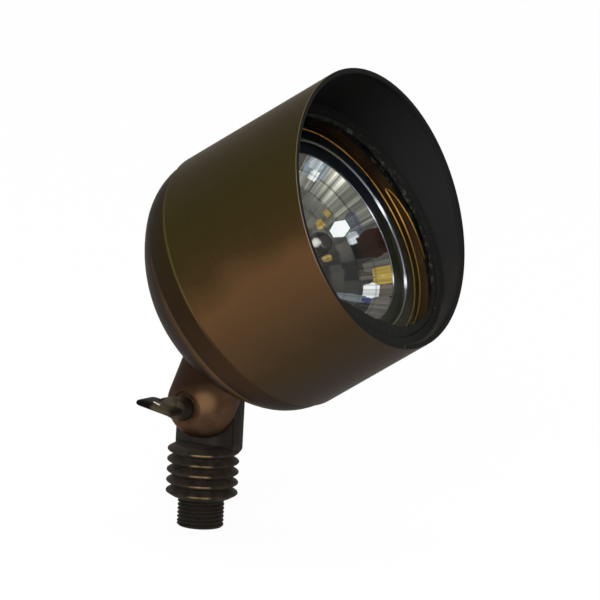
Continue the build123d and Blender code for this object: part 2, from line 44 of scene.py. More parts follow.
# Stem casting
# A bronze casting turned on its lower half: a half-inch pipe thread, five cooling fins, and above them
# a flat tongue for the tilt axis. It screws into a stake. Its dark patina is worn off the fin crests,
# which carry a painted highlight on the side towards the lamp.


def linear(shown):
    """Linear light from display levels of 0 to 1: a straight foot, and above it the power 2.4."""
    return np.where(shown <= 0.04045, shown / 12.92, ((shown + 0.055) / 1.055) ** 2.4)


def tone(red, green, blue):
    """Linear colour from an eight-bit display colour."""
    return (*linear(np.array([red, green, blue]) / 255).tolist(), 1.0)


class Shade:
    """One socket of a material's nodes: arithmetic on it adds Math nodes, and node() adds any other."""

    def __init__(self, tree, socket=None):
        self.tree = tree
        self.socket = socket

    def node(self, kind, settings, inputs, output=0):
        """Adds a node: its settings first, then a value or a link for each named or numbered socket."""
        made = self.tree.nodes.new("ShaderNode" + kind)
        for name, value in settings.items():
            if name == "stops":
                for position, _ in value[1:-1]:
                    made.color_ramp.elements.new(position)
                for element, (position, colour) in zip(made.color_ramp.elements, value):
                    element.position = position
                    element.color = tone(*colour)
            else:
                setattr(made, name, value)
        for key, value in inputs.items():
            if isinstance(value, Shade):
                self.tree.links.new(value.socket, made.inputs[key])
            else:
                made.inputs[key].default_value = value
        return Shade(self.tree, made.outputs[output] if made.outputs else None)

    def math(self, operation, *values):
        return self.node("Math", {"operation": operation}, dict(enumerate(values)))

    def __add__(self, other):
        return self.math("ADD", self, other)

    def __sub__(self, other):
        return self.math("SUBTRACT", self, other)

    def __rsub__(self, other):
        return self.math("SUBTRACT", other, self)

    def __mul__(self, other):
        return self.math("MULTIPLY", self, other)

    def __truediv__(self, other):
        return self.math("DIVIDE", self, other)

    __radd__ = __add__
    __rmul__ = __mul__

    def root(self):
        return self.math("SQRT", self)

    def square(self):
        return self * self

    def larger(self, other):
        return self.math("MAXIMUM", self, other)

    def step(self, low, high):
        """Smooth mask that goes from 0 at low to 1 at high."""
        settings = {"interpolation_type": "SMOOTHSTEP"}
        return self.node("MapRange", settings, {"Value": self, "From Min": low, "From Max": high})

    def blend(self, first, second):
        """Colour from first to second, sockets or display colours, as this goes from 0 to 1."""
        first, second = (end if isinstance(end, Shade) else tone(*end) for end in (first, second))
        return self.node("Mix", {"data_type": "RGBA"}, {0: self, 6: first, 7: second}, 2)

    def noise(self, scale, detail=3.0, rough=0.55):
        """Noise read at this vector socket."""
        inputs = {"Vector": self, "Scale": scale, "Detail": detail, "Roughness": rough}
        return self.node("TexNoise", {}, inputs)


def finish(name):
    """A new material with no nodes, and the wrapper that adds them."""
    material = bpy.data.materials.new(name)
    material.use_nodes = True
    material.node_tree.nodes.clear()
    return material, Shade(material.node_tree)


def coat(shade, colour, rough, metal=0.0, bump=None, depth=0.0, **more):
    """Ends a material in one Principled surface. Its bump is a height and that depth in metres, and more
    are the strength and tint of its shine, its alpha, and the colour and strength of its own light."""
    inputs = {"Base Color": colour, "Roughness": rough, "Metallic": metal}
    sockets = {"shine": "Specular IOR Level", "tint": "Specular Tint", "alpha": "Alpha"}
    sockets |= {"light": "Emission Color", "strength": "Emission Strength"}
    inputs |= {sockets[name]: value for name, value in more.items()}
    if bump is not None:
        height = {"Height": bump, "Distance": depth, "Strength": 1.0}
        inputs["Normal"] = shade.node("Bump", {}, height)
    shade.node("OutputMaterial", {}, {"Surface": shade.node("BsdfPrincipled", {}, inputs)})


def parts_of(shade, place):
    """The three numbers of a vector socket."""
    return [shade.node("SeparateXYZ", {}, {0: place}, axis) for axis in range(3)]


def rounded(corners, radius, steps=5):
    """Open profile whose inner corners are parabolas that leave the edges a radius before the corner."""
    corners = np.array(corners, float)
    before = np.roll(corners, 1, 0) - corners
    after = np.roll(corners, -1, 0) - corners
    reach = np.full((len(corners), 1), radius, float)
    reach[[0, -1]] = 0
    length_before = np.linalg.norm(before, axis=1, keepdims=True) + 1e-12
    length_after = np.linalg.norm(after, axis=1, keepdims=True) + 1e-12
    first = corners + before / length_before * np.minimum(reach, 0.48 * length_before)
    last = corners + after / length_after * np.minimum(reach, 0.48 * length_after)
    t = np.linspace(0, 1, steps)[None, :, None]
    curve = (1 - t) ** 2 * first[:, None] + 2 * t * (1 - t) * corners[:, None] + t**2 * last[:, None]
    return curve.reshape(-1, 2)


def turned(radius, height, steps, axes=np.eye(3), origin=(0, 0, 0)):
    """Grid of a turned surface: radius times the turn's cosine and sine, and the height on the axis."""
    turn = np.linspace(0, 2 * np.pi, steps, endpoint=False)[None]
    radius = radius.reshape(len(radius), -1)
    height = height.reshape(len(height), -1) + 0 * turn
    local = np.stack([radius * np.cos(turn), radius * np.sin(turn), height], -1)
    return local @ axes + np.array(origin)


def shape(name, grids, materials, body, node, sharp=40):
    """One piece from grids of points in millimetres, in place of a CAD node. Each grid is points, whether
    its rows join round, and its material's number; its columns always join round, and points that meet
    are merged."""
    corners, faces, numbers = [], [], []
    count = 0
    for points, loop, number in grids:
        rows, columns = points.shape[:2]
        index = count + np.arange(rows * columns).reshape(rows, columns)
        below = index if loop else index[:-1]
        above = np.roll(index, -1, 0) if loop else index[1:]
        quads = np.stack([below, np.roll(below, -1, 1), np.roll(above, -1, 1), above], -1)
        quads = quads.reshape(-1, 4)
        corners.append(points.reshape(-1, 3) * 0.001)
        faces.append(quads)
        numbers.append(np.full(len(quads), number))
        count += rows * columns
    corners, faces = np.concatenate(corners), np.concatenate(faces)
    mesh = bpy.data.meshes.new(name)
    mesh.vertices.add(len(corners))
    mesh.vertices.foreach_set("co", corners.ravel())
    mesh.loops.add(faces.size)
    mesh.loops.foreach_set("vertex_index", faces.ravel())
    mesh.polygons.add(len(faces))
    mesh.polygons.foreach_set("loop_start", np.arange(len(faces)) * 4)
    mesh.polygons.foreach_set("material_index", np.concatenate(numbers))
    mesh.update(calc_edges=True)
    work = bmesh.new()
    work.from_mesh(mesh)
    bmesh.ops.remove_doubles(work, verts=work.verts, dist=1e-7)
    work.to_mesh(mesh)
    work.free()
    mesh.polygons.foreach_set("use_smooth", np.ones(len(mesh.polygons), bool))
    mesh.set_sharp_from_angle(angle=math.radians(sharp))
    for material in materials:
        mesh.materials.append(material)
    piece = bpy.data.objects.new(name, mesh)
    bpy.context.scene.collection.objects.link(piece)
    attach(piece, body)
    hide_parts(node)
    return piece


def unit(vectors):
    """Each vector over its own length."""
    return vectors / np.linalg.norm(vectors, axis=-1, keepdims=True)


nipple_radius = 10.45
nipple_length = 13.2
bore_radius = 6.0
bore_depth = 30.0
thread_pitch = 25.4 / 14
thread_depth = 0.95
thread_steps = 150
fin_count = 5
fin_pitch = 4.76
fin_radius = 16.15
fin_root = 12.8
fin_half_tip = 0.42
fins_top = nipple_length + fin_count * fin_pitch
hinge_height = 56.5
stem_columns = 192
bore = [(0, bore_depth), (bore_radius, bore_depth), (bore_radius, 0.6), (bore_radius + 0.6, 0)]
lower = [*bore, (nipple_radius - 0.7, 0), (nipple_radius, 0.7)]
thread_rows = np.linspace(0.8, nipple_length - 0.1, thread_steps)
thread_rows = np.stack([np.full(thread_steps, nipple_radius), thread_rows], 1)
fins = [(nipple_radius, nipple_length)]
for foot in nipple_length + fin_pitch * np.arange(fin_count):
    fins.append((fin_root, foot))
    fins.append((fin_radius, foot + fin_pitch / 2 - fin_half_tip))
    fins.append((fin_radius, foot + fin_pitch / 2 + fin_half_tip))
fins = rounded([*fins, (fin_root, fins_top), (0, fins_top)], 0.8)
outline = np.concatenate([lower, thread_rows, fins])
turn = np.linspace(0, 1, stem_columns, endpoint=False)[None]
height = outline[:, 1:]
# The thread is a triangle wave up the nipple that climbs one pitch in a turn, with its crests cut flat,
# and fades out at both ends of the nipple.
wave = np.abs(((height / thread_pitch - turn) % 1) * 2 - 1)
fade = np.clip((height - 0.7) / 0.6, 0, 1) * np.clip((nipple_length - 0.4 - height) / 1.2, 0, 1)
on_nipple = (outline[:, :1] > nipple_radius - 0.01) & (height < nipple_length)
cut = thread_depth * np.clip(wave * 1.25 - 0.2, 0, 0.95) * fade * on_nipple
stem_grid = turned(outline[:, :1] - cut, height, stem_columns)

# The tongue is carried round its own outline: a half circle above the hinge and straight sides below.
tongue_half = 15.0
tongue_thickness = 9.4
tongue_skirt = 3.4
tongue_corner = 3.0
tongue_edge = 1.2
tongue_chamfer = 0.25
pivot_hole = 4.06
groove_inner = 12.15
groove_outer = 13.85
groove_depth = 1.4
arc = np.linspace(-np.pi / 2, np.pi / 2, 81)
foot_drop = hinge_height - fins_top + tongue_skirt
straight = foot_drop - tongue_corner
inset = tongue_half - tongue_corner
side = np.linspace(0, 1, 24, endpoint=False)[1:, None]
corner_bend = np.linspace(0, np.pi / 2, 9)
corner_arc = tongue_corner * np.stack([np.cos(corner_bend), -np.sin(corner_bend)], 1)
right = np.array([tongue_half, 0]) - side * np.array([0, straight])
below = np.array([inset, -foot_drop]) - side * np.array([2 * inset, 0])
right_corner = np.array([inset, -straight]) + corner_arc
left_corner = (right_corner * np.array([-1, 1]))[::-1]
left = np.array([-tongue_half, -straight]) + side * np.array([0, straight])
top = tongue_half * np.stack([np.sin(arc), np.cos(arc)], 1)
loop = np.concatenate([top, right, right_corner, below, left_corner, left])
away = unit(loop)
run = np.roll(loop, -1, 0) - np.roll(loop, 1, 0)
outward = unit(np.stack([-run[:, 1], run[:, 0]], 1))
ring_rows = [(away * pivot_hole, 0.0), (away * groove_inner, 0.0), (away * groove_inner, groove_depth)]
ring_rows += [(away * groove_outer, groove_depth), (away * groove_outer, 0.0)]
ring_rows += [(loop - outward * tongue_chamfer, 0.0), (loop, tongue_chamfer)]
for bend in np.linspace(0, np.pi / 2, 7):
    drawn_in = outward * tongue_edge * (1 - np.cos(bend))
    ring_rows.append((loop - drawn_in, tongue_thickness - tongue_edge * (1 - np.sin(bend))))
ring_rows.append((away * pivot_hole, tongue_thickness))
tongue_grid = np.stack(
    [np.stack([r[:, 0], np.full(len(r), y), r[:, 1] + hinge_height], 1) for r, y in ring_rows]
)

bronze_tint = (0.4, 0.33, 0.26, 1)
stem_finish, s = finish("stem_bronze")
place = s.node("TexCoord", {}, {}, 3)
x, y, z = parts_of(s, place)
mottle = place.noise(260, 5)
grain = place.noise(1900, 3)
radius = (x.square() + y.square()).root()
crest = radius.step(0.0158, 0.0161) * (0.0375 - z).step(0.0, 0.0008)
# The fin crests are worn bare, and a painted highlight brightens them only on the side towards the lamp.
highlight_side = (x * 0.46 - y * 0.888).step(0.015, 0.0158)
sheen_share = crest * highlight_side * (0.45 + mottle.step(0.3, 0.6) * 0.55)
below_fins = nipple_length * 0.001 - z
thread_crest = radius.step(0.0101, 0.0105) * below_fins.step(0.0, 0.0004)
dark = mottle.step(0.3, 0.7).blend((42, 37, 34), (60, 53, 46))
flank = x.step(0.0138, 0.0148)
flat_face = mottle.blend((54, 50, 47), (70, 65, 61))
# Painted light and shade: the flat face is painted palest in its middle, against the arm's shadow
# there, and darker in front, and the flank is painted paler at its far edge.
flat_face = (0.00007 - x.square()).step(0.0, 0.00006).blend(flat_face, (78, 74, 69))
flat_face = x.step(0.005, 0.011).blend(flat_face, (47, 44, 41))
flank_face = y.step(0.003, 0.0088).blend((31, 26, 23), (56, 52, 47))
tongue = flank.blend(flat_face, flank_face)
colour = (z - 0.034).step(0.0, 0.006).blend(dark, tongue)
colour = (below_fins.step(0.0, 0.001) * 0.55).blend(colour, (30, 28, 26))
colour = (thread_crest * 0.35).blend(colour, (50, 47, 42))
colour = sheen_share.blend(colour, (118, 97, 66))
coat(
    s, colour, 0.62 - sheen_share * 0.25 + grain * 0.1, metal=0.35 + sheen_share * 0.5,
    bump=grain * 0.6 + mottle, depth=0.00012, shine=0.2, tint=bronze_tint,
)
shape(
    "stem_turning",
    [(stem_grid, False, 0), (tongue_grid, True, 0)],
    [stem_finish],
    "stem",
    "stem_casting",
    35,
)

# Seals, plug and grommet
# Moulded black rubber: a ring in the tongue's face, a ring on the spigot, the plug in the nipple that
# the two leads pass through, and the grommet in the bowl. All are pressed into place.
rubber_finish, s = finish("seal_rubber")
place = s.node("TexCoord", {}, {}, 3)
bloom = place.noise(420, 4)
speck = place.noise(2600, 2)
coat(
    s, bloom.step(0.35, 0.75).blend((20, 20, 20), (40, 39, 37)),
    0.6 + bloom * 0.25, bump=speck, depth=0.00004, shine=0.3,
)


def dress(node, material):
    """Gives a CAD node this material alone."""
    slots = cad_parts[node].data.materials
    slots.clear()
    slots.append(material)


for node in ("knuckle_seal", "lead_plug", "hood_seal", "lead_grommet"):
    dress(node, rubber_finish)

# Knuckle arm
# The upper half of the tilt joint: half a ball on a short arm, cast in bronze and saddled to the bowl.
# Its patina is painted with light and shade: a warmer copper brown on the side towards the lamp, a
# highlight, a red bounce of light low at the back, and the bowl's shadow on top.
arm_finish, s = finish("arm_bronze")
place = s.node("TexCoord", {}, {}, 3)
x, y, z = parts_of(s, place)
mottle = place.noise(120, 5)
grain = place.noise(1500, 3)
# The side towards the lamp is painted a lighter copper brown, as painted light.
lit_front = (x * 0.5 - y * 0.866).step(0.004, 0.0178)
colour = mottle.step(0.3, 0.75).blend((46, 32, 20), (62, 44, 30))
lit_front_colour = mottle.step(0.3, 0.75).blend((70, 50, 35), (90, 66, 48))
colour = lit_front.blend(colour, lit_front_colour)
# A painted highlight lies on the ball where it faces the lamp, and a warm bounce of light is painted
# in red on the ball's lower back.
off_highlight = (x - 0.0084).square() + (y + 0.0157).square() + (z - 0.0602).square()
# The spot is the painted highlight.
spot = (0.00006 - off_highlight).step(0.0, 0.00006)
colour = (spot.square() * (0.7 + mottle * 0.4)).blend(colour, (132, 102, 72))
# Painted reflection of warm light bounced onto the ball's lower back.
painted_bounce = (0.053 - z).step(0.0, 0.006) * (0.0 - x).step(-0.001, 0.008)
colour = painted_bounce.blend(colour, (94, 58, 30))
# The arm's top is painted dark as the bowl's shadow on it.
colour = (z - x * 0.25).step(0.0605, 0.068).blend(colour, (46, 31, 20))
coat(s, colour, 0.4 + mottle * 0.2, metal=0.6, bump=grain, depth=0.00004, shine=0.2, tint=bronze_tint)
dress("knuckle_arm", arm_finish)

# Arm screws
# Two plain stainless socket-head screws inside the bowl, which pull the arm against it.
steel_finish, s = finish("screw_steel")
place = s.node("TexCoord", {}, {}, 3)
smear = place.noise(700, 4)
coat(
    s, smear.blend((168, 168, 166), (205, 204, 200)),
    0.25 + smear * 0.2, metal=1.0, bump=smear, depth=0.00002,
)
dress("arm_screws", steel_finish)

# Rear housing
# The bowl behind the lamp, spun and turned in bronze, with a spigot in front that carries the hood and
# the lamp. Its outside has a brown patina; inside it is bare, amber-coloured metal.
aim = math.radians(33.9)
beam = np.array([math.cos(aim), 0, math.sin(aim)])
head_up = np.array([-math.sin(aim), 0, math.cos(aim)])
near = np.array([0, -1.0, 0])
head_axes = np.stack([head_up, near, beam])
seam = np.array([23.8269, 0, 115.1261])


def head_place(shade):
    """Object coordinates turned into the head's own: up, towards the near side and along the beam."""
    turn = Matrix(head_axes.T.tolist()).to_euler()
    inputs = {
        "Vector": shade.node("TexCoord", {}, {}, 3),
        "Location": (seam * 0.001).tolist(),
        "Rotation": turn,
    }
    return shade.node("Mapping", {"vector_type": "TEXTURE"}, inputs)


def head_parts(shade):
    """Place on the head, its three numbers, and the angle from the top: 0 to 1 at the bottom, the same
    on both sides."""
    place = head_place(shade)
    up, side, along = parts_of(shade, place)
    angle = shade.math("ABSOLUTE", shade.math("ARCTAN2", side, up)) / math.pi
    return place, up, side, along, angle


bowl_finish, s = finish("bowl_bronze")
place, up, side, along, angle = head_parts(s)
radius = (up.square() + side.square()).root()
streak = s.node("Mapping", {}, {"Vector": place, "Scale": (1, 1, 26)}).noise(60, 5)
cloud = place.noise(30, 2)
grain = place.noise(1700, 2)
spread = angle + (cloud - 0.5) * 0.1
patina = s.node(
    "ValToRGB",
    {
        "stops": [
            (0.0, (50, 45, 30)),
            (0.3, (46, 38, 20)),
            (0.52, (46, 34, 20)),
            (0.68, (60, 43, 28)),
            (0.85, (52, 40, 28)),
            (1.0, (46, 40, 35)),
        ]
    },
    {"Fac": spread},
)
nose = (0.0 - along).step(0.004, 0.034)
colour = (nose * 0.7).blend(patina, (32, 23, 15))
colour = (streak.step(0.45, 0.8) * 0.16).blend(colour, (80, 58, 38))
# The lip beside the hood is worn and painted with a bright edge highlight: olive above and tan
# below, faint at the bottom.
lip = along.step(-0.0015, -0.0009) * radius.step(0.0604, 0.0608)
lip = lip * (1.0 - angle.step(0.5, 0.66) * 0.9)
lip_colour = angle.step(0.4, 0.62).blend((98, 90, 44), (118, 90, 60))
colour = (lip * (0.35 + streak * 0.5)).blend(colour, lip_colour)
bore_wall = (0.0585 - radius).step(0.0, 0.0004) * along.step(-0.02, -0.01)
inside = along.step(0.0002, 0.0006).larger(bore_wall)
amber = cloud.step(0.35, 0.65).blend((60, 45, 31), (90, 68, 46))
amber = angle.step(0.08, 0.35).blend((40, 26, 16), amber)
amber = (angle.step(0.5, 0.66) * 0.7).blend(amber, (118, 94, 62))
colour = inside.blend(colour, amber)
coat(
    s, colour, 0.42 + streak * 0.12, metal=0.6, bump=streak * 0.7 + grain * 0.3, depth=0.00003,
    shine=0.12, tint=(0.3, 0.25, 0.2, 1),
)
dress("rear_housing", bowl_finish)

# Lamp reflector
# Pressed glass, silvered inside: rings of flat facets on a parabola, with finer flutes in the two outer
# rings, and a dark flange that the cover is sealed to. It lies on a soft ring in the spigot.
lamp_radius = 57.15
lamp_seat = 39.6
rim_front = 42.55
opening = 41.55
mirror_depth = 30.0
vertex = 12.6
focus = opening**2 / (4 * mirror_depth)
neck = 9.75
neck_outer = 12.95
neck_back = -3.0
ring_count = 7
inner_rings = 5
inner_facets = 20
outer_flutes = 120
splits = 8
columns = 480
ring_width = (opening - neck) / ring_count
ring_radii = neck + ring_width * np.arange(ring_count + 1)


def polygon_ring(corners):
    """Points round a regular polygon with that many corners, in even steps along its sides."""
    group = columns // corners
    turn = (np.arange(columns) // group) * 2 * np.pi / corners
    part = (np.arange(columns) % group)[:, None] / group
    corner = np.stack([np.cos(turn), np.sin(turn)], 1)
    return corner * (1 - part) + np.roll(corner, -group, 0) * part


# The five inner rings have twenty flat facets each, the two outer ones a hundred and twenty flutes.
is_inner = np.arange(ring_count + 1)[:, None, None] < inner_rings
rows = np.where(is_inner, polygon_ring(inner_facets), polygon_ring(outer_flutes))
rows = rows * ring_radii[:, None, None]
depth = np.broadcast_to((vertex + ring_radii**2 / (4 * focus))[:, None, None], rows.shape[:2] + (1,))
facet_rows = np.concatenate([rows, depth], -1)
# Each ring is split in eight between its two edges, so that a facet can carry painted reflections
# of more than one thing.
part = np.linspace(0, 1, splits, endpoint=False)[None, :, None, None]
split_rows = facet_rows[:-1, None] * (1 - part) + facet_rows[1:, None] * part
inside_grid = np.concatenate([split_rows.reshape(-1, columns, 3), facet_rows[-1:]])
inside_grid = inside_grid[::-1] @ head_axes + seam
# The facets' painted reflections are both their colour and light they give off, so the mirror glows.
mirror_finish, s = finish("reflector_mirror")
place = head_place(s)
haze = place.noise(300, 3)
facet = s.node("Attribute", {"attribute_name": "facet"}, {})
coat(
    s, facet, 0.12 + haze * 0.1, metal=0.1, bump=haze, depth=0.00001,
    shine=0.03, light=facet, strength=0.75,
)
rim_finish, s = finish("reflector_rim")
place, up, side, _, angle = head_parts(s)
radius = (up.square() + side.square()).root()
smoke = place.noise(24, 1)
colour = smoke.step(0.3, 0.7).blend((20, 24, 20), (40, 44, 56))
olive = smoke.step(0.3, 0.7).blend((46, 47, 32), (60, 58, 44))
colour = angle.step(0.4, 0.56).blend(colour, olive)
colour = (radius.step(0.0475, 0.049) * angle.step(0.42, 0.58)).blend(colour, (88, 83, 68))
coat(s, colour, 0.34 + smoke * 0.1, shine=0.15)
rim_profile = rounded([(lamp_radius, lamp_seat), (lamp_radius, rim_front), (opening, rim_front)], 0.3)
back_corners = [(neck, neck_back), (neck_outer, neck_back), (neck_outer, 14), (24, 19.5), (36, 29)]
back_corners += [(44.75, lamp_seat), (lamp_radius, lamp_seat)]
back_profile = rounded(back_corners, 2.0)
# The rim ends in the facets' outer edge, and the neck's bore begins at their inner one.
rim_rows = turned(rim_profile[:-1, :1], rim_profile[:-1, 1:], columns)
rim_grid = np.concatenate([rim_rows, facet_rows[-1:]]) @ head_axes + seam
back_rows = turned(back_profile[:, :1], back_profile[:, 1:], columns)
back_grid = np.concatenate([facet_rows[:1], back_rows]) @ head_axes + seam
reflector = shape(
    "reflector",
    [
        (inside_grid, False, 0),
        (rim_grid, False, 1),
        (back_grid, False, 1),
    ],
    [mirror_finish, rim_finish],
    "head",
    "lamp_reflector",
    3,
)
# Each facet carries a painted reflection of its own part of the surroundings. Its grey is a level for
# its turn, one table for the inner rings and one for the outer, scattered from facet to facet and from
# flute to flute.
centre = np.empty(len(reflector.data.polygons) * 3)
reflector.data.polygons.foreach_get("center", centre)
centre = (centre.reshape(-1, 3) * 1000 - seam) @ head_axes.T
across = np.hypot(centre[:, 0], centre[:, 1])
round_turn = np.degrees(np.arctan2(-centre[:, 1], centre[:, 0])) % 360
outer_ring = across > ring_radii[inner_rings]
ring = np.floor((across - neck) / ring_width)
facet_turn = 360 / inner_facets
flute_turn = 360 / outer_flutes


def scatter(width, step, shift, size):
    """A number from 0 to 1 for each part of the turn: a large sine without its whole part."""
    return np.sin(np.floor(round_turn / width) * step + shift) * size % 1


block = scatter(facet_turn, 39.35, ring * 11.13, 24634.63)
half = scatter(facet_turn / 2, 27.17, ring * 5.71, 9631.7)
stripe = scatter(flute_turn / 2, 51.37, 4.1, 15731.7)
turns = [0, 50, 66, 75, 92, 108, 130, 175, 300, 360]
inner_levels = [0.4, 0.35, 0.3, 0.45, 0.3, 0.17, 0.17, 0.2, 0.2, 0.4]
outer_levels = [0.4, 0.4, 0.54, 0.49, 0.23, 0.17, 0.26, 0.2, 0.2, 0.4]
level = np.interp(round_turn, turns, inner_levels)
level = np.where(outer_ring, np.interp(round_turn, turns, outer_levels), level)
contrast = np.interp(round_turn, [80, 100, 300, 360], [0.5, 1.3, 1.3, 0.5])
level = level * (0.87 + contrast * (block - 0.5) + 0.26 * half)
level = level * (1 + outer_ring * (0.6 * stripe - 0.25))
# A painted fan of reflected light lies over the flutes, brightest at the rim.
fan_turn = 49
fan_spread = 7.5
fan_foot = 28
fan = np.exp(-(((round_turn - fan_turn) / fan_spread) ** 2))
fan = fan * np.clip((across - fan_foot) / 13, 0, 1) ** 1.5
level = level + 0.7 * fan * (0.45 + 0.75 * stripe)
# The edge between two facets mirrors nothing bright, and is painted as a thin dark line.
ring_part = (across - neck) / ring_width % 1
border = (ring_part < 1 / splits) | (~outer_ring & (round_turn % facet_turn < 360 / columns))
level = level * np.where(border, 0.8, 1)
# The painted reflections are a little warmer in the lower half.
upper_grey = np.array([255, 250, 232])
lower_grey = np.array([255, 240, 222])
lower = np.clip((round_turn - 85) / 20, 0, 1)[:, None]
shown = level[:, None] * (upper_grey * (1 - lower) + lower_grey * lower)
# Some groups of facets carry a painted reflection of one thing: each row is the patch's radii, its
# turns and its look.
window = (255, 255, 255)
pale = (200, 206, 212)
sky = (146, 155, 164)
slate = (92, 95, 102)
dusk = (60, 58, 108)
stone = (112, 103, 96)
ash = (104, 99, 94)
mist = (112, 118, 122)
brass = (184, 155, 76)
brown = (40, 22, 14)
for inner, outer, first, last, look in (
    (36.2, 41.6, 22, 42, sky),
    (38.8, 41.4, 25, 36, pale),
    (35.6, 38.6, 30, 38, window),
    (34.8, 38.2, 73, 93, slate),
    (32.2, 35.8, 86, 95, pale),
    (26.2, 29.0, 62, 70, brass),
    (30.6, 32.4, 60, 66, brass),
    (22.2, 25.2, 96, 103, brass),
    (34.6, 42.4, 90, 109, brown),
    (34.0, 41.4, 111, 120, ash),
    (36.2, 42.4, 117, 124, brass),
    (36.2, 42.4, 124.5, 131, brass),
    (38.2, 42.4, 131, 142, stone),
    (33.8, 38.4, 130, 144, window),
    (25.4, 34.8, 141.5, 151.5, mist),
    (33.6, 40.4, 144.5, 150, dusk),
    (36.4, 42.4, 142, 172, ash),
):
    # A patch has six corners: it is a little longer in its middle than along its two edges.
    from_middle = np.abs(across - (inner + outer) / 2) / (outer - inner) * 2
    from_turn = np.abs(round_turn - (first + last) / 2) / (last - first) * 2
    patch = (from_middle < 1) & (from_turn + 0.3 * from_middle < 1.1)
    # Each patch's painted reflection is dimmed from flute to flute and at the facets' borders.
    sheen_share = (0.74 + 0.36 * stripe[patch]) * np.where(border[patch], 0.85, 1)
    shown[patch] = np.array(look) * sheen_share[:, None]
# One whole facet carries a painted reflection of a window: a hexagon a little longer round the ring
# than across it.
hexagon_radius = 31.9
hexagon_turn = 79.5
hexagon_reach = 3.1
from_middle = np.abs(across - hexagon_radius)
along_ring = np.abs(np.radians(round_turn - hexagon_turn)) * hexagon_radius
hexagon = np.maximum(from_middle * 0.5 + along_ring * 0.8, from_middle) < hexagon_reach
shown[hexagon] = 253
shown = linear(np.clip(shown / 255, 0, 1))
shown = np.concatenate([shown, np.ones((len(shown), 1))], 1)
painted_reflections = reflector.data.attributes.new("facet", "FLOAT_COLOR", "FACE")
painted_reflections.data.foreach_set("color", shown.astype(np.float32).ravel())

# Lamp base and terminals
# A pale ceramic base cemented in the reflector's neck, with two brass terminal plates on its back and
# a slotted binding screw in each.
ceramic_finish, s = finish("base_ceramic")
place = head_place(s)
speck = place.noise(900, 4)
coat(
    s, speck.step(0.4, 0.7).blend((214, 208, 194), (232, 228, 216)),
    0.5 + speck * 0.2, bump=speck, depth=0.00005,
)
brass_finish, s = finish("terminal_brass")
place = head_place(s)
smear = place.noise(500, 4)
coat(
    s, smear.blend((190, 158, 92), (214, 184, 120)),
    0.25 + smear * 0.25, metal=1.0, bump=smear, depth=0.00002,
)
dress("lamp_base", ceramic_finish)
dress("lamp_terminals", brass_finish)
dress("terminal_screws", brass_finish)

# Lamp capsule and glare cap
# A quartz capsule in the base, with a polished metal cap drawn over its tip that hides the filament.
quartz_finish, s = finish("capsule_glass")
place = head_place(s)
haze = place.noise(300, 3)
coat(s, haze.blend((206, 210, 210), (236, 238, 238)), 0.08 + haze * 0.1, alpha=0.3 + haze * 0.15)
cap_finish, s = finish("cap_metal")
place = head_place(s)
up, side, along = parts_of(s, place)
haze = place.noise(260, 3)
# A painted reflection of a window glows on its near side, and that side is painted a paler grey.
off_painted_glint = (up - 0.0009).square() + (side - 0.0052).square() + (along - 0.038).square()
painted_glint = (0.000007 - off_painted_glint).step(0.0, 0.000007)
dark = haze.blend((44, 34, 28), (66, 54, 46))
coat(
    s, (side - along).step(-0.0375, -0.033).blend(dark, (150, 146, 140)),
    0.12 + haze * 0.1, metal=1.0, bump=haze, depth=0.00003,
    light=painted_glint.blend((0, 0, 0), (236, 232, 226)), strength=1.0,
)
dress("lamp_capsule", quartz_finish)
cap_radius = 5.4
cap_bore = 4.9
cap_foot = 27.0
cap_shoulder = 36.9
cap_rise = 5.3
capsule_top = 34.4
ball = np.linspace(0, np.pi / 2, 20)
cap_outer = np.stack([cap_radius * np.cos(ball), cap_shoulder + cap_rise * np.sin(ball)], 1)
cap_inner = [(0, capsule_top), (cap_bore, capsule_top), (cap_bore, cap_foot), (cap_radius, cap_foot)]


def spun(profile, steps, axes=head_axes, origin=seam):
    """Grid of a profile turned about the beam from the seam on, or about another axis."""
    return turned(profile[:, :1], profile[:, 1:], steps, axes, origin)


cap_grid = spun(np.concatenate([cap_inner, cap_outer]), 64)
shape("cap_ball", [(cap_grid, False, 0)], [cap_finish], "head", "glare_cap")

# Lamp gasket
# A flat ring of black silicone under the lamp's rim, cut from sheet.
gasket_finish, s = finish("gasket_rubber")
place, *_, angle = head_parts(s)
crumb = place.noise(700, 5, 0.7)
dust = place.noise(160, 5, 0.65)
dusty = dust.step(0.48, 0.64) * crumb.step(0.45, 0.6)
dusty = dusty * (1.0 - angle.step(0.66, 0.8) * 0.85) * angle.step(0.02, 0.2)
coat(
    s, dusty.blend((22, 22, 20), (86, 84, 77)),
    0.75 + crumb * 0.2, bump=crumb * 0.4 + dust, depth=0.0002, shine=0.15,
)
dress("lamp_gasket", gasket_finish)

# Lamp cover
# A clear pressed-glass cover sealed to the reflector's rim, slightly crowned in the middle, with a
# bright bead where the two glasses are fused together.


def clear_glass(name, tint, reflect):
    """Glass that lets light straight through and shines more at a slant."""
    material, shade = finish(name)
    smear = shade.node("TexCoord", {}, {}, 3).noise(90, 3)
    through = shade.node("BsdfTransparent", {}, {"Color": tint})
    shine = shade.node("BsdfAnisotropic", {}, {"Color": (1, 1, 1, 1), "Roughness": 0.03})
    factor = shade.node("Fresnel", {}, {"IOR": reflect}) * (0.1 + smear * 0.1)
    mixed = shade.node("MixShader", {}, {0: factor, 1: through, 2: shine})
    shade.node("OutputMaterial", {}, {"Surface": mixed})
    return material


cover_finish = clear_glass("lamp_glass", (0.93, 0.94, 0.94, 1), 1.12)
bead_finish, s = finish("cover_bead")
place, *_, angle = head_parts(s)
smear = place.noise(60, 2)
